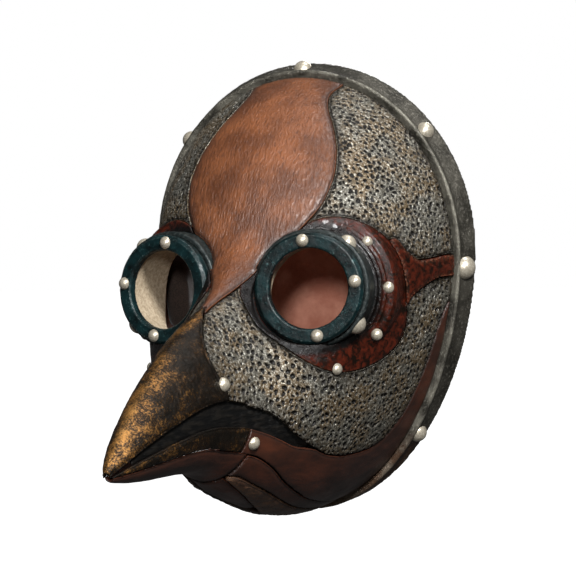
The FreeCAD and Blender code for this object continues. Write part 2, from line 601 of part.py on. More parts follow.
def rail(y):
    a = leg_point(-1, BAR_AT, SHORT_LAYER, y)
    b = leg_point(-1, FRAME_END, -2.9, y)
    return Part.makeCylinder(WIRE - 0.15, (b - a).Length, a, b - a)


frame = Part.makeCylinder(BAR_R, wide.Length, bar_a, V(0, 1, 0)).fuse(
    [Part.makeCylinder(WIRE, wide.Length, far_a, V(0, 1, 0)),
     rail(STRAP_Y - FRAME_HALF), rail(STRAP_Y + FRAME_HALF)])
NODES["buckle_frame"] = frame

eye = Part.makeCylinder(BAR_R + 1.3, 3.0, leg_point(-1, BAR_AT, SHORT_LAYER, STRAP_Y - 1.5), V(0, 1, 0))
prong = eye
bends = [leg_point(-1, BAR_AT + down, layer) for down, layer in ((0, SHORT_LAYER), (3.4, 0.0), (5.6, -3.4), (19.5, -5.4))]
for a, b in zip(bends, bends[1:]):
    prong = prong.fuse([Part.makeCylinder(1.0, (b - a).Length, a, b - a), Part.makeSphere(1.0, b)])
NODES["buckle_prong"] = prong.cut(
    Part.makeCylinder(BAR_R + 0.05, 10, leg_point(-1, BAR_AT, SHORT_LAYER, STRAP_Y - 5), V(0, 1, 0)))

KEEP_AT, KEEP_W = 14.0, 7.0
low_in, high_in = -1.75, SHORT_LAYER + 1.75
middle = (low_in + high_in) / 2
keeper = leg_box(-1, KEEP_AT, KEEP_AT + KEEP_W, middle, STRAP_W + 4.4, high_in - low_in + 3.0)
NODES["keeper_loop"] = keeper.cut(
    leg_box(-1, KEEP_AT - 1, KEEP_AT + KEEP_W + 1, middle, STRAP_W + 0.8, high_in - low_in))

for name, shape in NODES.items():
    print(name, shape.ShapeType, shape.isValid(), round(shape.Volume), len(shape.Solids))
os.makedirs("parts", exist_ok=True)
for name, shape in NODES.items():
    shape.exportStep("parts/" + name + ".step")
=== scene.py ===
"""Looks of the beaked mask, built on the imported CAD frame.  Lengths are metres; MM is one millimetre."""

import json
import math

import bpy
import numpy as np
from mathutils import Matrix, Vector, kdtree, noise


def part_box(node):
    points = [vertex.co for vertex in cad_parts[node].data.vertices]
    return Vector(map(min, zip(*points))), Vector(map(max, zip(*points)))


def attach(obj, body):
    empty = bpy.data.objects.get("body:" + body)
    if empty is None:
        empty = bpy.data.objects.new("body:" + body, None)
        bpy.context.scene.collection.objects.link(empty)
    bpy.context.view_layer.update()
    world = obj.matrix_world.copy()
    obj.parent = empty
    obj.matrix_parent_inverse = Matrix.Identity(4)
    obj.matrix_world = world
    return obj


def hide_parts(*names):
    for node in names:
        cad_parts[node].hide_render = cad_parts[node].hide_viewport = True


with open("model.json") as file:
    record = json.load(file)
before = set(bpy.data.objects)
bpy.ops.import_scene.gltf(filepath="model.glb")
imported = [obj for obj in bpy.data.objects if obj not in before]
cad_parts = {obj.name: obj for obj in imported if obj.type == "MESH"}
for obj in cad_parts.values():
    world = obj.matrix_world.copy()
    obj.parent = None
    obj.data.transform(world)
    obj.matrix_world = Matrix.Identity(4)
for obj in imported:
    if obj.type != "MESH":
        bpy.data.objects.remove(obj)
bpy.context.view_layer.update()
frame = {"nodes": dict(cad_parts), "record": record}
nodes = frame["nodes"]
MM = 0.001
SIDES = ("left", "right")


# ---------------------------------------------------------------- camera, floor, lights
CAM_AZIMUTH = math.radians(25.0)
CAM_ELEVATION = math.radians(4.0)
CAM_ROLL = math.radians(2.2)
CAM_DISTANCE = 1.3
AIM = Vector((0.0, -0.070, -0.012))
VIEW_WIDTH = 0.3168             # what the frame spans at the aim point
CAM_SHIFT = (0.0406, 0.0184)
WORLD_LIGHT = 0.07              # strength of the surroundings as a light
FLOOR_HALF, FLOOR_LEVEL, FLOOR_GLOW = 8.0, -0.60, 1.1
LAMPS = (                       # name, place, disk size in metres, watts
    ("key", (0.80, -0.86, 0.86), 0.26, 34.0),
    ("front", (0.50, -1.40, 0.42), 0.20, 13.0),
    ("top", (0.30, 0.25, 1.15), 0.40, 6.0),
    ("rear", (-0.35, 1.45, 0.55), 0.50, 11.0),
)


def make_camera():
    ca, sa = math.cos(CAM_AZIMUTH), math.sin(CAM_AZIMUTH)
    ce, se = math.cos(CAM_ELEVATION), math.sin(CAM_ELEVATION)
    back = Vector((sa * ce, -ca * ce, se))
    right = Vector((ca, sa, 0.0))
    up = back.cross(right)
    cr, sr = math.cos(CAM_ROLL), math.sin(CAM_ROLL)
    right, up = right * cr - up * sr, right * sr + up * cr
    data = bpy.data.cameras.new("camera")
    data.angle = 2 * math.atan(VIEW_WIDTH / 2 / CAM_DISTANCE)
    data.shift_x, data.shift_y = CAM_SHIFT
    camera = bpy.data.objects.new("camera", data)
    bpy.context.scene.collection.objects.link(camera)
    turn = Matrix((right, up, back)).transposed().to_4x4()
    camera.matrix_world = Matrix.Translation(AIM + back * CAM_DISTANCE) @ turn
    bpy.context.scene.camera = camera


def area_light(name, place, size, power):
    data = bpy.data.lights.new(name, "AREA")
    data.shape = "DISK"
    data.size = size
    data.energy = power
    light = bpy.data.objects.new(name, data)
    bpy.context.scene.collection.objects.link(light)
    light.location = place
    light.rotation_euler = (AIM - Vector(place)).to_track_quat("-Z", "Y").to_euler()


def make_world():
    """White surroundings: the camera sees them white, but they light the mask only a little."""
    world = bpy.data.worlds.new("studio")
    world.use_nodes = True
    tree = world.node_tree
    seen = tree.nodes["Background"]
    seen.inputs["Color"].default_value = (1, 1, 1, 1)
    seen.inputs["Strength"].default_value = 1.0
    dim = tree.nodes.new("ShaderNodeBackground")
    dim.inputs["Color"].default_value = (1, 1, 1, 1)
    dim.inputs["Strength"].default_value = WORLD_LIGHT
    choose = tree.nodes.new("ShaderNodeMixShader")
    ray = tree.nodes.new("ShaderNodeLightPath").outputs["Is Camera Ray"]
    tree.links.new(ray, choose.inputs["Fac"])
    tree.links.new(dim.outputs["Background"], choose.inputs[1])
    tree.links.new(seen.outputs["Background"], choose.inputs[2])
    tree.links.new(choose.outputs["Shader"], tree.nodes["World Output"].inputs["Surface"])
    bpy.context.scene.world = world


def make_floor():
    """A glowing white floor far below the mask, which casts no light on it."""
    half, level = FLOOR_HALF, FLOOR_LEVEL
    corners = [(-half, -half, level), (half, -half, level), (half, half, level), (-half, half, level)]
    mesh = bpy.data.meshes.new("floor")
    mesh.from_pydata(corners, [], [(0, 1, 2, 3)])
    floor = bpy.data.objects.new("floor", mesh)
    bpy.context.scene.collection.objects.link(floor)
    material = plain("floor_pale", (0.9, 0.9, 0.9), 0.9)
    shader = material.node_tree.nodes["Principled BSDF"]
    shader.inputs["Emission Color"].default_value = (1, 1, 1, 1)
    shader.inputs["Emission Strength"].default_value = FLOOR_GLOW
    floor.data.materials.append(material)
    floor.visible_diffuse = False
    floor.visible_glossy = False


def make_stage():
    bpy.context.scene.view_settings.view_transform = "Standard"
    make_world()
    make_floor()
    for name, place, size, power in LAMPS:
        area_light(name, place, size, power)


# ---------------------------------------------------------------- node material helpers
def plain(name, colour, rough, metal=0.0):
    material = bpy.data.materials.new(name)
    material.use_nodes = True
    shader = material.node_tree.nodes["Principled BSDF"]
    shader.inputs["Base Color"].default_value = (*colour, 1)
    shader.inputs["Roughness"].default_value = rough
    shader.inputs["Metallic"].default_value = metal
    return material


class Look:
    """A Principled material built from object-space noise, with short names for the nodes it needs."""

    def __init__(self, name, metal=0.0, coat=0.0, coat_rough=0.2, specular=0.5):
        self.material = bpy.data.materials.new(name)
        self.material.use_nodes = True
        self.tree = self.material.node_tree
        self.shader = self.tree.nodes["Principled BSDF"]
        self.shader.inputs["Metallic"].default_value = metal
        self.shader.inputs["Coat Weight"].default_value = coat
        self.shader.inputs["Coat Roughness"].default_value = coat_rough
        self.shader.inputs["Specular IOR Level"].default_value = specular
        self.place = self.node("ShaderNodeTexCoord").outputs["Object"]
        self.height = None

    def node(self, kind, **settings):
        made = self.tree.nodes.new(kind)
        for key, value in settings.items():
            setattr(made, key, value)
        return made

    def wire(self, value, socket):
        if hasattr(value, "links"):
            self.tree.links.new(value, socket)
        else:
            socket.default_value = value

    def in_steps_of(self, size, stretch=(1, 1, 1)):
        """The place counted in steps of size metres, longer steps along an axis whose stretch is larger."""
        mapping = self.node("ShaderNodeMapping")
        self.tree.links.new(self.place, mapping.inputs["Vector"])
        mapping.inputs["Scale"].default_value = tuple(1.0 / (size * s) for s in stretch)
        return mapping.outputs["Vector"]

    def noise(self, size, detail=4.0, rough=0.6, stretch=(1, 1, 1), warp=0.0):
        """Noise with features about size metres across, longer along an axis whose stretch is larger."""
        place = self.in_steps_of(size, stretch)
        made = self.node("ShaderNodeTexNoise")
        made.inputs["Scale"].default_value = 1.0
        made.inputs["Detail"].default_value = detail
        made.inputs["Roughness"].default_value = rough
        made.inputs["Distortion"].default_value = warp
        self.tree.links.new(place, made.inputs["Vector"])
        return made.outputs["Fac"]

    def cells(self, size, feature="F1"):
        """Distances inside a pattern of cells about size metres across."""
        place = self.in_steps_of(size)
        made = self.node("ShaderNodeTexVoronoi", feature=feature)
        made.inputs["Scale"].default_value = 1.0
        self.tree.links.new(place, made.inputs["Vector"])
        return made.outputs["Distance"]

    def attribute(self, name):
        return self.node("ShaderNodeAttribute", attribute_name=name).outputs["Fac"]

    def attribute_ramp(self, name, most):
        return self.ramp(self.attribute(name), 0.0, 1.0, 0.0, most)

    def ramp(self, value, low, high, out_low=0.0, out_high=1.0):
        made = self.node("ShaderNodeMapRange", interpolation_type="SMOOTHSTEP")
        self.wire(value, made.inputs["Value"])
        made.inputs["From Min"].default_value = low
        made.inputs["From Max"].default_value = high
        made.inputs["To Min"].default_value = out_low
        made.inputs["To Max"].default_value = out_high
        return made.outputs["Result"]

    def math(self, how, a, b):
        made = self.node("ShaderNodeMath", operation=how)
        self.wire(a, made.inputs[0])
        self.wire(b, made.inputs[1])
        return made.outputs[0]

    def mix(self, factor, a, b):
        made = self.node("ShaderNodeMix", data_type="RGBA")
        self.wire(factor, made.inputs["Factor"])
        self.wire((*a, 1) if isinstance(a, tuple) else a, made.inputs["A"])
        self.wire((*b, 1) if isinstance(b, tuple) else b, made.inputs["B"])
        return made.outputs["Result"]

    def bump(self, value, depth):
        """Adds a height layer of the given depth in metres."""
        layer = self.math("MULTIPLY", value, depth)
        self.height = layer if self.height is None else self.math("ADD", self.height, layer)

    def done(self, colour, rough, metal=None):
        self.wire(colour, self.shader.inputs["Base Color"])
        self.wire(rough, self.shader.inputs["Roughness"])
        if metal is not None:
            self.wire(metal, self.shader.inputs["Metallic"])
        if self.height is not None:
            made = self.node("ShaderNodeBump")
            made.inputs["Strength"].default_value = 1.0
            made.inputs["Distance"].default_value = 1.0
            self.tree.links.new(self.height, made.inputs["Height"])
            self.tree.links.new(made.outputs["Normal"], self.shader.inputs["Normal"])
        return self.material


# ---------------------------------------------------------------- materials
def forehead_leather():
    look = Look("forehead_leather", coat=0.18, coat_rough=0.30, specular=0.4)
    streaks = look.noise(1.4 * MM, 4.0, 0.6, (0.75, 1.5, 6.5), 0.5)
    pores = look.noise(0.6 * MM, 3.0, 0.6)
    cloud = look.noise(22 * MM, 3.0, 0.55)
    edge = look.attribute("edge")
    colour = look.mix(look.ramp(cloud, 0.35, 0.68), (0.082, 0.026, 0.009), (0.170, 0.057, 0.020))
    colour = look.mix(look.ramp(streaks, 0.47, 0.34, 0.0, 0.60), colour, (0.038, 0.012, 0.006))
    colour = look.mix(look.ramp(streaks, 0.58, 0.76, 0.0, 0.18), colour, (0.36, 0.155, 0.075))
    colour = look.mix(look.ramp(edge, 0.25, 1.0, 0.0, 0.92), colour, (0.018, 0.007, 0.004))
    colour = look.mix(look.attribute_ramp("shade", 0.7), colour, (0.020, 0.008, 0.005))
    look.bump(streaks, 0.8 * MM)
    look.bump(pores, 0.06 * MM)
    return look.done(colour, look.ramp(streaks, 0.3, 0.7, 0.52, 0.34))


def pitted_plate():
    look = Look("pitted_plate", metal=0.5)
    fine = look.noise(1.1 * MM, 6.0, 0.72)
    cloud = look.noise(15 * MM, 4.0, 0.6)
    pit = look.attribute("pit")
    edge = look.attribute("edge")
    colour = look.mix(look.ramp(cloud, 0.38, 0.60), (0.080, 0.075, 0.060), (0.100, 0.066, 0.030))
    colour = look.mix(look.ramp(fine, 0.49, 0.66, 0.0, 0.9), colour, (0.56, 0.54, 0.47))
    colour = look.mix(look.ramp(fine, 0.47, 0.33, 0.0, 0.8), colour, (0.022, 0.017, 0.010))
    # painted shade: the pit hollows are painted near-black
    colour = look.mix(look.ramp(pit, 0.02, 0.45), colour, (0.005, 0.004, 0.003))
    colour = look.mix(look.attribute_ramp("shade", 0.75), colour, (0.014, 0.010, 0.006))
    colour = look.mix(look.ramp(edge, 0.15, 0.8, 0.0, 0.95), colour, (0.007, 0.006, 0.004))
    look.bump(fine, 0.45 * MM)
    return look.done(colour, look.ramp(fine, 0.3, 0.7, 0.50, 0.26))


def jaw_leather():
    look = Look("jaw_leather", coat=0.08, coat_rough=0.35, specular=0.4)
    grain = look.cells(0.9 * MM, "DISTANCE_TO_EDGE")
    cloud = look.noise(14 * MM, 4.0, 0.6, (1, 2.2, 1))
    edge = look.attribute("edge")
    colour = look.mix(look.ramp(cloud, 0.34, 0.66), (0.026, 0.008, 0.004), (0.066, 0.019, 0.009))
    colour = look.mix(look.ramp(edge, 0.3, 1.0, 0.0, 0.9), colour, (0.012, 0.006, 0.004))
    colour = look.mix(look.attribute_ramp("shade", 0.6), colour, (0.012, 0.005, 0.003))
    look.bump(look.ramp(grain, 0.0, 0.18), 0.03 * MM)
    look.bump(cloud, 0.3 * MM)
    return look.done(colour, look.ramp(cloud, 0.35, 0.7, 0.5, 0.36))


def chin_leather():
    look = Look("chin_leather", coat=0.1, specular=0.45)
    wrinkle = look.noise(2.2 * MM, 6.0, 0.7, (1, 3, 1), 0.8)
    cloud = look.noise(9 * MM, 3.0, 0.6)
    edge = look.attribute("edge")
    colour = look.mix(look.ramp(cloud, 0.35, 0.66), (0.050, 0.022, 0.011), (0.115, 0.058, 0.030))
    colour = look.mix(look.ramp(wrinkle, 0.5, 0.32, 0.0, 0.8), colour, (0.016, 0.009, 0.006))
    colour = look.mix(look.ramp(edge, 0.3, 1.0, 0.0, 0.9), colour, (0.010, 0.006, 0.004))
    look.bump(wrinkle, 0.7 * MM)
    return look.done(colour, 0.5)


def beak_bronze():
    look = Look("beak_bronze", metal=0.7)
    speck = look.noise(1.1 * MM, 6.0, 0.85)
    smear = look.noise(8 * MM, 5.0, 0.65, (1, 2.0, 1))
    gilding_and_highlight = look.attribute("gilding_and_highlight")
    edge = look.attribute("edge")
    # worn adds the mark of worn gilding and painted highlight, so gold speckles crowd on ridge and tip
    worn = look.math("ADD", look.ramp(smear, 0.35, 0.75, -0.07, 0.09), look.math("MULTIPLY", gilding_and_highlight, 0.27))
    gold = look.ramp(look.math("ADD", speck, worn), 0.56, 0.74)
    colour = look.mix(look.ramp(smear, 0.35, 0.70), (0.007, 0.005, 0.003), (0.018, 0.010, 0.005))
    colour = look.mix(look.math("MULTIPLY", gold, 0.85), colour, (0.42, 0.200, 0.050))
    # partly worn gilding, partly painted highlight: lighter gold on the tip and the top of the ridge
    colour = look.mix(look.ramp(gilding_and_highlight, 0.45, 0.80, 0.0, 0.25), colour, (0.42, 0.25, 0.10))
    colour = look.mix(look.ramp(edge, 0.4, 1.0, 0.0, 0.85), colour, (0.010, 0.007, 0.004))
    look.bump(speck, 0.30 * MM)
    return look.done(colour, look.ramp(speck, 0.3, 0.75, 0.50, 0.27))


def rim_pewter():
    look = Look("rim_pewter", metal=0.6)
    fine = look.noise(1.6 * MM, 6.0, 0.7)
    cloud = look.noise(15 * MM, 4.0, 0.6)
    crest_wear_and_highlight = look.attribute("crest_wear_and_highlight")
    low = look.attribute("low")
    colour = look.mix(look.ramp(cloud, 0.34, 0.66), (0.022, 0.020, 0.015), (0.065, 0.060, 0.048))
    colour = look.mix(look.ramp(fine, 0.50, 0.78, 0.0, 0.8), colour, (0.34, 0.32, 0.27))
    colour = look.mix(look.ramp(fine, 0.46, 0.28, 0.0, 0.7), colour, (0.012, 0.010, 0.008))
    colour = look.mix(low, colour, (0.105, 0.052, 0.026))
    # partly wear, partly painted highlight: a lighter line along the crest of the bead
    bright = look.math("MULTIPLY", crest_wear_and_highlight, look.ramp(cloud, 0.35, 0.6))
    colour = look.mix(look.math("MULTIPLY", bright, 0.3), colour, (0.40, 0.38, 0.31))
    look.bump(fine, 0.6 * MM)
    return look.done(colour, look.ramp(fine, 0.3, 0.75, 0.52, 0.28))


def lining():
    look = Look("lining", specular=0.35)
    cloud = look.noise(12 * MM, 5.0, 0.6)
    grain = look.cells(1.1 * MM, "DISTANCE_TO_EDGE")
    colour = look.mix(look.ramp(cloud, 0.33, 0.68), (0.235, 0.092, 0.060), (0.400, 0.190, 0.135))
    # painted shade: outer faces, seen only through gaps between panels, are painted near-black
    colour = look.mix(look.attribute("painted_shade_outer_face"), colour, (0.004, 0.003, 0.003))
    look.bump(look.ramp(grain, 0.0, 0.2), 0.05 * MM)
    look.bump(cloud, 0.4 * MM)
    return look.done(colour, 0.62)


def mouth_black():
    look = Look("mouth_black", specular=0.25)
    ribs = look.noise(2.0 * MM, 3.0, 0.5, (1.0, 8.0, 0.9))
    # painted shade: the mouth liner sits deep in the recess between the lips and is painted near-black for
    # the shade there
    colour = look.mix(look.ramp(ribs, 0.4, 0.7), (0.001, 0.001, 0.001), (0.006, 0.005, 0.004))
    look.bump(ribs, 0.8 * MM)
    return look.done(colour, 0.5)


def bezel_teal():
    look = Look("bezel_teal", metal=0.1, coat=0.05, specular=0.2)
    brush = look.noise(1.6 * MM, 6.0, 0.7, (1, 1, 1), 1.2)
    cloud = look.noise(9 * MM, 3.0, 0.6)
    edge = look.attribute("edge")
    colour = look.mix(look.ramp(cloud, 0.35, 0.66), (0.0010, 0.0032, 0.0036), (0.0032, 0.0150, 0.0165))
    colour = look.mix(look.ramp(brush, 0.56, 0.72, 0.0, 0.6), colour, (0.060, 0.140, 0.140))
    colour = look.mix(look.math("MULTIPLY", edge, look.ramp(brush, 0.4, 0.7)), colour, (0.16, 0.20, 0.19))
    look.bump(brush, 0.22 * MM)
    return look.done(colour, look.ramp(brush, 0.3, 0.75, 0.46, 0.28))


def tube_dark():
    look = Look("tube_dark", metal=0.1, specular=0.25)
    fine = look.noise(1.8 * MM, 5.0, 0.7)
    bore = look.attribute("bore")
    colour = look.mix(look.ramp(fine, 0.45, 0.8), (0.010, 0.014, 0.014), (0.075, 0.085, 0.080))
    cream = look.mix(look.ramp(fine, 0.3, 0.7), (0.24, 0.185, 0.12), (0.45, 0.37, 0.265))
    colour = look.mix(bore, colour, cream)
    look.bump(fine, 0.2 * MM)
    return look.done(colour, look.ramp(bore, 0, 1, 0.4, 0.7), look.ramp(bore, 0, 1, 0.3, 0.0))


def oxblood():
    look = Look("oxblood", coat=0.08, coat_rough=0.10, specular=0.16)
    streak = look.noise(4.5 * MM, 6.0, 0.7, (1, 1, 1), 1.0)
    fine = look.noise(1.3 * MM, 5.0, 0.75)
    edge = look.attribute("edge")
    colour = look.mix(look.ramp(streak, 0.38, 0.64), (0.004, 0.002, 0.001), (0.055, 0.009, 0.004))
    colour = look.mix(look.ramp(fine, 0.60, 0.74, 0.0, 0.5), colour, (0.17, 0.040, 0.016))
    worn = look.math("MULTIPLY", edge, look.ramp(fine, 0.46, 0.60, 0.0, 0.6))
    colour = look.mix(worn, colour, (0.22, 0.09, 0.05))
    # painted shade: the surround turns near-black close to the goggle tube, standing in for the shade under
    # the bezel
    colour = look.mix(look.attribute_ramp("near", 0.96), colour, (0.002, 0.002, 0.002))
    look.bump(streak, 0.5 * MM)
    look.bump(fine, 0.15 * MM)
    return look.done(colour, look.ramp(streak, 0.3, 0.7, 0.40, 0.22))


def rivet_silver():
    look = Look("rivet_silver", metal=0.55)
    fine = look.noise(0.9 * MM, 5.0, 0.7)
    colour = look.mix(look.ramp(fine, 0.35, 0.72), (0.32, 0.28, 0.21), (0.64, 0.59, 0.49))
    look.bump(fine, 0.10 * MM)
    return look.done(colour, look.ramp(fine, 0.3, 0.7, 0.42, 0.28))


def pad_cloth():
    look = Look("pad_fabric", specular=0.2)
    look.shader.inputs["Sheen Weight"].default_value = 0.3
    weave = look.cells(0.7 * MM)
    cloud = look.noise(10 * MM)
    colour = look.mix(look.ramp(weave, 0.1, 0.7), (0.006, 0.004, 0.003), (0.026, 0.017, 0.013))
    colour = look.mix(look.ramp(cloud, 0.3, 0.7, 0.0, 0.35), colour, (0.050, 0.030, 0.022))
    look.bump(weave, 0.12 * MM)
    return look.done(colour, 0.9)


def pad_leather():
    look = Look("pad_leather", specular=0.35)
    cloud = look.noise(16 * MM, 4.0, 0.6)
    grain = look.cells(0.9 * MM, "DISTANCE_TO_EDGE")
    colour = look.mix(look.ramp(cloud, 0.33, 0.68), (0.420, 0.150, 0.095), (0.600, 0.270, 0.185))
    look.bump(look.ramp(grain, 0.0, 0.2), 0.05 * MM)
    return look.done(colour, 0.6)


def strap_leather():
    look = Look("strap_leather", coat=0.1, specular=0.45)
    grain = look.cells(0.8 * MM, "DISTANCE_TO_EDGE")
    cloud = look.noise(7 * MM, 5.0, 0.6)
    edge = look.attribute("edge")
    colour = look.mix(look.ramp(cloud, 0.33, 0.68), (0.045, 0.018, 0.009), (0.100, 0.043, 0.021))
    colour = look.mix(look.ramp(edge, 0.2, 1.0, 0.0, 0.8), colour, (0.014, 0.007, 0.004))
    look.bump(look.ramp(grain, 0.0, 0.2), 0.05 * MM)
    return look.done(colour, 0.48)


def aged_brass():
    look = Look("buckle_metal", metal=1.0)
    fine = look.noise(1.4 * MM, 5.0, 0.7)
    colour = look.mix(look.ramp(fine, 0.35, 0.7), (0.16, 0.095, 0.035), (0.50, 0.36, 0.17))
    look.bump(fine, 0.06 * MM)
    return look.done(colour, look.ramp(fine, 0.3, 0.7, 0.45, 0.25))


LOOKS = {
    "forehead_leather": forehead_leather(), "pitted_plate": pitted_plate(), "jaw_leather": jaw_leather(),
    "chin_leather": chin_leather(), "beak_bronze": beak_bronze(), "mouth_black": mouth_black(),
    "rim_pewter": rim_pewter(), "lining": lining(), "bezel_teal": bezel_teal(), "tube_dark": tube_dark(),
    "oxblood": oxblood(), "rivet_silver": rivet_silver(), "pad_fabric": pad_cloth(),
    "pad_leather": pad_leather(), "strap_leather": strap_leather(), "buckle_metal": aged_brass(),
}
SLOT_OF = {part["node"]: part["material_slot"] for part in frame["record"]["subparts"]}
BODIES = frame["record"]["behaviour"]["bodies"]
BODY_OF = {node: body for body, members in BODIES.items() for node in members}


# ---------------------------------------------------------------- mesh work
SIDEWAYS = 0.35                 # faces that look outward less than this are cut edges
MOST_TARGETS = 6000             # edge points kept when distances to them are measured
NO_EDGE = 1.0                   # the distance given when a piece has no cut edge


def positions(mesh):
    flat = np.zeros(len(mesh.vertices) * 3)
    mesh.vertices.foreach_get("co", flat)
    return flat.reshape(-1, 3)


def vertex_normals(mesh):
    flat = np.zeros(len(mesh.vertices) * 3)
    mesh.vertex_normals.foreach_get("vector", flat)
    return flat.reshape(-1, 3)


def set_attribute(mesh, name, values):
    layer = mesh.attributes.new(name, "FLOAT", "POINT")
    layer.data.foreach_set("value", np.asarray(values, np.float32))


def smooth_step(low, high, value):
    t = np.clip((value - low) / (high - low), 0, 1)
    return t * t * (3 - 2 * t)


def falloff(distance, width):
    """One at the edge, falling to nothing over about twice the width."""
    return np.exp(-(distance / width) ** 2)


def outward(points):
    """Unit directions from the mask's middle line, which runs from the head opening into the beak."""
    depth = -points[:, 1]
    middle = np.zeros_like(points)
    middle[:, 1] = np.interp(depth, [0.0, 0.10, 0.15, 0.26], [0.02, -0.035, -0.105, -0.240])
    middle[:, 2] = np.interp(depth, [0.0, 0.10, 0.26], [0.0, -0.035, -0.076])
    away = points - middle
    return away / np.linalg.norm(away, axis=1)[:, None]


def bake(piece):
    """Gives the piece the mesh that its modifiers make."""
    graph = bpy.context.evaluated_depsgraph_get()
    mesh = bpy.data.meshes.new_from_object(piece.evaluated_get(graph))
    piece.modifiers.clear()
    piece.data = mesh
    mesh.materials.clear()
    mesh.shade_smooth()


def copy_of(node, voxel, smooth=4):
    """A new object with the node's shape as an even mesh, its facets smoothed away."""
    piece = bpy.data.objects.new(node + "_skin", nodes[node].data.copy())
    bpy.context.scene.collection.objects.link(piece)
    piece.data.materials.clear()
    remesh = piece.modifiers.new("remesh", "REMESH")
    remesh.mode = "VOXEL"
    remesh.voxel_size = voxel
    soften = piece.modifiers.new("smooth", "SMOOTH")
    soften.factor = 0.5
    soften.iterations = smooth
    bake(piece)
    return piece


def nearest(points, targets):
    """Distance from each point to its nearest target, and that target's number."""
    tree = kdtree.KDTree(len(targets))
    for k, target in enumerate(targets):
        tree.insert(target, k)
    tree.balance()
    found = [tree.find(point) for point in points]
    return np.array([f[2] for f in found]), np.array([f[1] for f in found])


def wave(points, size, seed, octaves=2):
    """Smooth noise between about -1 and 1 with features of the given size."""
    shift = Vector((seed * 7.31, seed * 3.17, seed * 5.71))
    return np.array([noise.fractal(Vector(p) / size + shift, 1.0, 2.0, octaves) for p in points])


def edge_distance(points, facing):
    """Distance from each point to the piece's cut edges, which face sideways."""
    sides = points[np.abs(facing) < SIDEWAYS]
    if len(sides) > MOST_TARGETS:
        sides = sides[:: len(sides) // MOST_TARGETS + 1]
    if len(sides) == 0:
        return np.full(len(points), NO_EDGE)
    return nearest(points, sides)[0]


def scattered(points, spacing, seed):
    """Points picked from the given ones so that no two are closer than spacing."""
    order = np.random.default_rng(seed).permutation(len(points))
    around = [(i, j, l) for i in (-1, 0, 1) for j in (-1, 0, 1) for l in (-1, 0, 1)]
    cells, chosen = {}, []
    for k in order:
        p = points[k]
        cx, cy, cz = (p // spacing).astype(int)
        near = (q for i, j, l in around for q in cells.get((cx + i, cy + j, cz + l), ()))
        if all(np.dot(p - q, p - q) > spacing * spacing for q in near):
            cells.setdefault((cx, cy, cz), []).append(p)
            chosen.append(p)
    return np.array(chosen)


def move(piece, points, direction, amount):
    new = points + direction * amount[:, None]
    piece.data.vertices.foreach_set("co", new.ravel())
    piece.data.update()


def finish_piece(piece, node):
    piece.data.materials.append(LOOKS[SLOT_OF[node]])
    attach(piece, BODY_OF[node])
    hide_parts(node)


# ---------------------------------------------------------------- skin panels
FINE = 0.45          # voxel size of the skin panels in mm
ROLL, ROLL_WIDTH = 0.7 * MM, 1.3 * MM       # how far an edge rolls down, and how wide the roll is
EDGE_WASH, SHADE_REACH = 1.6 * MM, 5 * MM   # widths of the dark line and of the soft shade at edges


def panel_piece(node, voxel, relief, roll=ROLL, roll_width=ROLL_WIDTH):
    """A skin panel: edges rolled down, and a relief pressed into its outer face."""
    piece = copy_of(node, voxel)
    points, normals = positions(piece.data), vertex_normals(piece.data)
    facing = np.sum(normals * outward(points), axis=1)
    outer = smooth_step(0.15, 0.45, facing)
    distance = edge_distance(points, facing)
    amount = -roll * falloff(distance, roll_width)
    amount += relief(piece.data, points, distance, outer)
    move(piece, points, normals, amount * outer)
    set_attribute(piece.data, "edge", falloff(distance, EDGE_WASH) * outer)
    set_attribute(piece.data, "shade", np.exp(-distance / SHADE_REACH) * outer)
    finish_piece(piece, node)


def pits(spacing, depth, seed):
    """Relief of irregular pits with raised ground between them."""
    bend_size, bend_amount = 2.6 * MM, 1.1 * MM
    ground_size, ground_height = 5 * MM, 0.30 * MM
    edge_margin = 1.0 * MM

    def relief(mesh, points, distance, outer):
        bend = np.stack([wave(points, bend_size, seed + k) for k in range(3)], axis=1)
        bent = points + bend_amount * bend
        ground = bent[(outer > 0.7) & (distance > edge_margin)]
        centres = scattered(ground, spacing, seed)
        gap, which = nearest(bent, centres)
        radius = spacing * np.random.default_rng(seed + 9).uniform(0.24, 0.58, len(centres))[which]
        pit = 1 - smooth_step(0.35, 1.1, gap / radius)
        # the pit mark lets the shader paint the hollows near-black as painted shade
        set_attribute(mesh, "pit", pit * outer)
        return -depth * pit + ground_height * wave(points, ground_size, seed + 5)
    return relief


def creases(size, depth, seed, stretch):
    """Relief of long shallow folds."""
    def relief(mesh, points, distance, outer):
        return depth * wave(points / np.array(stretch), size, seed, 3)
    return relief


# ---------------------------------------------------------------- beak
GILDING_AND_HIGHLIGHT_START, GILDING_AND_HIGHLIGHT_END = -160 * MM, -255 * MM     # the worn gilding and the painted highlight grow along the beak between these


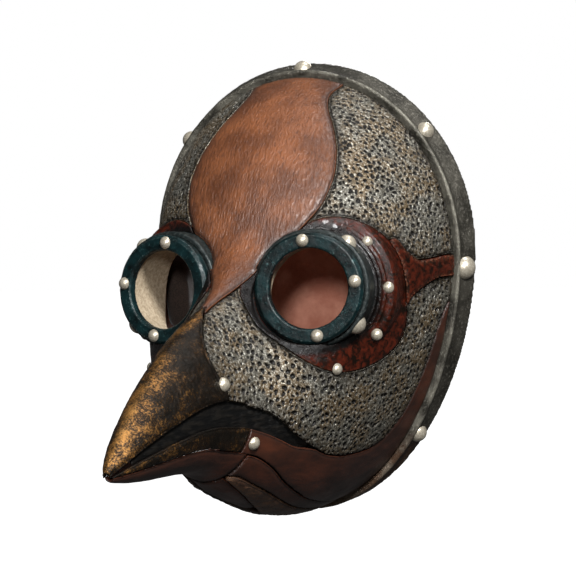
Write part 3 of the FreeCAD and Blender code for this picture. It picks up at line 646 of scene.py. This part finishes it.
def beak_piece(node, seed):
    """Half of the beak: rolled edges, hammered lumps, and worn gilding with a painted highlight, which grow
    towards the upward-facing ridge and the tip.
    """
    piece = copy_of(node, (FINE + 0.1) * MM, 6)
    points, normals = positions(piece.data), vertex_normals(piece.data)
    facing = np.sum(normals * outward(points), axis=1)
    outer = smooth_step(0.2, 0.6, facing)
    distance = edge_distance(points, facing)
    amount = -ROLL * falloff(distance, 1.4 * MM)
    amount += 0.30 * MM * wave(points, 7 * MM, seed, 3) + 0.10 * MM * wave(points, 1.4 * MM, seed + 1, 2)
    move(piece, points, normals, amount * outer)
    along = smooth_step(GILDING_AND_HIGHLIGHT_START, GILDING_AND_HIGHLIGHT_END, points[:, 1])
    # the upward-facing ridge gets more gold: partly worn gilding, partly painted highlight from the light
    # above
    ridge = smooth_step(0.55, 0.98, normals[:, 2])
    gilding_and_highlight = 0.05 + 0.40 * along + 0.30 * ridge if node == "beak_upper" else 0.12 + 0.2 * along
    set_attribute(piece.data, "gilding_and_highlight", gilding_and_highlight * outer)
    set_attribute(piece.data, "edge", falloff(distance, 1.0 * MM) * outer)
    finish_piece(piece, node)


# ---------------------------------------------------------------- rim, liner, goggles
EYE_SPLAY, EYE_PITCH = math.radians(10.0), math.radians(5.0)


def plain_piece(node, voxel, lumps, size, seed, smooth=4, marks=None):
    """A piece with low lumps all over and, where marks is given, the attributes that it sets."""
    piece = copy_of(node, voxel, smooth)
    points, normals = positions(piece.data), vertex_normals(piece.data)
    move(piece, points, normals, lumps * wave(points, size, seed, 2))
    if marks:
        marks(piece.data, points, normals)
    finish_piece(piece, node)


def band_marks(mesh, points, normals):
    """Marks the crest of the rim bead, lighter for wear and as a painted highlight, and the brown lower end
    of the band.
    """
    y, z = points[:, 1], points[:, 2]
    crest_wear_and_highlight = smooth_step(-11.5 * MM, -12.5 * MM, y) * smooth_step(-15.0 * MM, -13.5 * MM, y)
    set_attribute(mesh, "crest_wear_and_highlight", crest_wear_and_highlight)
    set_attribute(mesh, "low", 0.85 * smooth_step(-85 * MM, -115 * MM, z))


def liner_marks(mesh, points, normals):
    """Marks the liner's outer faces, which are painted near-black as painted shade where the gaps between
    panels show them.
    """
    facing = np.sum(normals * outward(points), axis=1)
    set_attribute(mesh, "painted_shade_outer_face", smooth_step(-0.6, -0.3, facing))


def from_eye(side, points):
    """Vectors from the goggle's axis out to the points, at right angles to the axis."""
    sign = 1 if side == "left" else -1
    low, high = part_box("goggle_bezel_" + side)
    level = math.cos(EYE_PITCH)
    axis = np.array([sign * math.sin(EYE_SPLAY) * level, -math.cos(EYE_SPLAY) * level, math.sin(EYE_PITCH)])
    away = points - np.array((low + high) / 2)
    return away - np.outer(away @ axis, axis)


def bore_marks(side):
    """Marks the inside wall of a goggle tube."""
    def marks(mesh, points, normals):
        away = from_eye(side, points)
        away /= np.linalg.norm(away, axis=1)[:, None]
        set_attribute(mesh, "bore", smooth_step(0.2, -0.3, np.sum(away * normals, axis=1)))
    return marks


def flange_marks(side):
    """Marks the worn corners, and the painted shade close to the goggle tube, where the bezel shades the
    surround.
    """
    def marks(mesh, points, normals):
        corner_marks(mesh, points, normals)
        radius = np.linalg.norm(from_eye(side, points), axis=1)
        # near: painted shade, full within 33 mm of the goggle axis, gone by 38.5 mm
        set_attribute(mesh, "near", smooth_step(38.5 * MM, 33.0 * MM, radius))
    return marks


def corner_marks(mesh, points, normals):
    """Marks sharp convex corners, where the finish is worn."""
    edges = np.zeros(len(mesh.edges) * 2, int)
    mesh.edges.foreach_get("vertices", edges)
    a, b = edges.reshape(-1, 2).T
    span = points[b] - points[a]
    length = np.linalg.norm(span, axis=1) + 1e-9
    bend = np.sum((normals[b] - normals[a]) * span, axis=1) / length ** 2
    total, count = np.zeros(len(points)), np.zeros(len(points))
    for end in (a, b):
        np.add.at(total, end, bend)
        np.add.at(count, end, 1)
    set_attribute(mesh, "edge", smooth_step(250, 800, total / np.maximum(count, 1)))


# ---------------------------------------------------------------- stuffed pads
PAD_PRESSURE, PAD_FRAMES = 4.0, 20


def pad_piece(node, voxel, reach):
    """A pad blown up a little by a cloth simulation, then held within reach of its unblown shape."""
    piece = copy_of(node, voxel, 3)
    rest = positions(piece.data)
    cloth = piece.modifiers.new("cloth", "CLOTH")
    cloth.settings.quality = 6
    cloth.settings.mass = 0.2
    cloth.settings.tension_stiffness = 18
    cloth.settings.bending_stiffness = 1.2
    cloth.settings.use_pressure = True
    cloth.settings.uniform_pressure_force = PAD_PRESSURE
    cloth.settings.effector_weights.gravity = 0.0
    cloth.point_cache.frame_start, cloth.point_cache.frame_end = 1, PAD_FRAMES
    for step in range(1, PAD_FRAMES + 1):
        bpy.context.scene.frame_set(step)
    bake(piece)
    bpy.context.scene.frame_set(1)
    moved = positions(piece.data) - rest
    length = np.linalg.norm(moved, axis=1)
    scale = np.minimum(1.0, reach / np.maximum(length, 1e-9))
    piece.data.vertices.foreach_set("co", (rest + moved * scale[:, None]).ravel())
    finer = piece.modifiers.new("finer", "SUBSURF")
    finer.levels = finer.render_levels = 2
    bake(piece)
    finish_piece(piece, node)


# ---------------------------------------------------------------- straps
THREAD = plain("thread", (0.33, 0.24, 0.13), 0.75)
THREAD_SIDES, THREAD_RADIUS, STITCH_HALF = 6, 0.34 * MM, 1.2 * MM
STITCH_STATIONS = (-1.0, -0.7, 0.0, 0.7, 1.0)   # places along a stitch, in half lengths
THIN_END, END_DIP = 0.45, 0.25 * MM
STRAP_Y, PIVOT_X, TILT, LEG = -12.5 * MM, 76 * MM, math.radians(15), 62 * MM
STRAP_HALF, STITCH_IN, STITCH_STEP = 1.25 * MM, 7.0 * MM, 3.8 * MM
CROWN_FACE_Y, CROWN_STITCH_X = -8.9 * MM, 10.5 * MM
CROWN_LOW, CROWN_HIGH = 8 * MM, 92 * MM


def stitches(name, rows, body):
    """Short thread stitches lying on a strap: rows of (point, along, out) in metres."""
    verts, faces = [], []
    sides = range(THREAD_SIDES)
    for point, along, out in rows:
        across = along.cross(out)
        start = len(verts)
        for t in STITCH_STATIONS:
            r = THREAD_RADIUS * (1.0 if abs(t) < 0.8 else THIN_END)
            lift = -END_DIP * t * t
            for k in sides:
                angle = 2 * math.pi * k / THREAD_SIDES
                ring = out * (lift + r * math.sin(angle)) + across * (r * math.cos(angle))
                verts.append(point + along * (STITCH_HALF * t) + ring)
        last = start + (len(STITCH_STATIONS) - 1) * THREAD_SIDES
        for first in range(start, last, THREAD_SIDES):
            for k in sides:
                a, b = first + k, first + (k + 1) % THREAD_SIDES
                faces.append((a, b, b + THREAD_SIDES, a + THREAD_SIDES))
        faces.append(tuple(start + k for k in sides)[::-1])
        faces.append(tuple(last + k for k in sides))
    mesh = bpy.data.meshes.new(name)
    mesh.from_pydata(verts, [], faces)
    mesh.shade_smooth()
    thread = bpy.data.objects.new(name, mesh)
    bpy.context.scene.collection.objects.link(thread)
    thread.data.materials.append(THREAD)
    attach(thread, body)


def four_stitches(middle, along, out):
    """Stitches near both edges on both faces of the head strap, beside one point of its middle line."""
    return [(middle + out * (face * STRAP_HALF) + Vector((0, edge_y, 0)), along, out * face)
            for edge_y in (-STITCH_IN, STITCH_IN) for face in (1, -1)]


def leg_rows(side, start):
    """Stitches down one straight leg of the head strap, from start to the leg's end."""
    sign = 1 if side == "left" else -1
    along = Vector((-sign * math.sin(TILT), 0, -math.cos(TILT)))
    out = Vector((sign * math.cos(TILT), 0, -math.sin(TILT)))
    pivot = Vector((sign * PIVOT_X, STRAP_Y, 0))
    rows = []
    for k in range(int((LEG - start) / STITCH_STEP)):
        rows += four_stitches(pivot + along * (start + STITCH_STEP * (k + 0.5)), along, out)
    return rows


def arc_rows():
    """Stitches round the bend that joins the two legs."""
    end_x = PIVOT_X - LEG * math.sin(TILT)
    radius = end_x / math.cos(TILT)
    centre = Vector((0, STRAP_Y, -LEG * math.cos(TILT) + radius * math.sin(TILT)))
    sweep = math.pi - 2 * TILT
    count = int(radius * sweep / STITCH_STEP)
    rows = []
    for k in range(count):
        angle = -TILT - sweep * (k + 0.5) / count
        out = Vector((math.cos(angle), 0, math.sin(angle)))
        along = Vector((math.sin(angle), 0, -math.cos(angle)))
        rows += four_stitches(centre + out * radius, along, out)
    return rows


def crown_rows():
    """Stitches up both edges of the crown strap's rear face."""
    along, out = Vector((0, 0, 1)), Vector((0, 1, 0))
    heights = np.arange(CROWN_LOW, CROWN_HIGH, STITCH_STEP)
    return [(Vector((x, CROWN_FACE_Y, z)), along, out)
            for z in heights for x in (-CROWN_STITCH_X, CROWN_STITCH_X)]


# ---------------------------------------------------------------- building
make_stage()
make_camera()

panel_piece("forehead_panel", (FINE + 0.05) * MM, creases(1.7 * MM, 0.20 * MM, 3, (1, 1.6, 5)))
for side in SIDES:
    seed = 11 if side == "left" else 47
    panel_piece("temple_plate_" + side, FINE * MM, pits(2.8 * MM, 1.1 * MM, seed))
    panel_piece("cheek_plate_" + side, (FINE + 0.02) * MM, pits(3.1 * MM, 1.25 * MM, seed + 1))
    panel_piece("jaw_panel_" + side, (FINE + 0.15) * MM, creases(9 * MM, 0.25 * MM, seed, (1, 3, 1)))
    panel_piece("lower_jaw_panel_" + side, (FINE + 0.1) * MM, creases(7 * MM, 0.2 * MM, seed, (1, 3, 1)))
    panel_piece("chin_plate_" + side, (FINE + 0.1) * MM, creases(3 * MM, 0.35 * MM, seed, (1, 2.5, 1)))
    arm_creases = creases(4 * MM, 0.15 * MM, seed, (2, 2, 1))
    panel_piece("goggle_arm_" + side, (FINE + 0.1) * MM, arm_creases, 0.9 * MM, 2 * MM)
panel_piece("chin_strip", (FINE + 0.1) * MM, creases(6 * MM, 0.2 * MM, 5, (1, 3, 1)))
panel_piece("beak_keel", (FINE + 0.1) * MM, creases(6 * MM, 0.2 * MM, 6, (1, 3, 1)))

beak_piece("beak_upper", 21)
for side in SIDES:
    beak_piece("beak_lower_" + side, 22)

plain_piece("rim_band", 0.6 * MM, 0.12 * MM, 4 * MM, 31, 3, band_marks)
plain_piece("shell_liner", 1.2 * MM, 0.3 * MM, 14 * MM, 32, 6, liner_marks)
for side in SIDES:
    plain_piece("goggle_bezel_" + side, 0.4 * MM, 0.12 * MM, 4 * MM, 41, 2, corner_marks)
    plain_piece("goggle_tube_" + side, 0.6 * MM, 0.08 * MM, 4 * MM, 42, 2, bore_marks(side))
    plain_piece("goggle_collar_" + side, 0.5 * MM, 0.12 * MM, 4 * MM, 43, 2)
    plain_piece("goggle_flange_" + side, 0.5 * MM, 0.15 * MM, 5 * MM, 44, 2, flange_marks(side))
    # the mouth liners get the near-black mouth_black look, painted shade for the mouth recess
    plain_piece("mouth_liner_" + side, 0.6 * MM, 0.2 * MM, 3 * MM, 45)

pad_piece("brow_pad", 4 * MM, 1.8 * MM)
pad_piece("nape_pad", 4.5 * MM, 1.6 * MM)
for side in SIDES:
    pad_piece("cheek_pad_" + side, 4 * MM, 1.8 * MM)
    pad_piece("temple_pad_" + side, 4 * MM, 1.6 * MM)

strap_rows = leg_rows("left", 3 * MM) + leg_rows("right", 13 * MM) + arc_rows()
stitches("strap_stitches", strap_rows, "strap")
stitches("crown_stitches", crown_rows(), "crown")
for node in ("strap_long", "strap_short", "keeper_loop", "crown_strap"):
    plain_piece(node, 0.5 * MM, 0.10 * MM, 5 * MM, 51, 2, corner_marks)

for name, shown in nodes.items():
    if name + "_skin" not in bpy.data.objects:
        shown.data.materials.clear()
        shown.data.materials.append(LOOKS[SLOT_OF[name]])
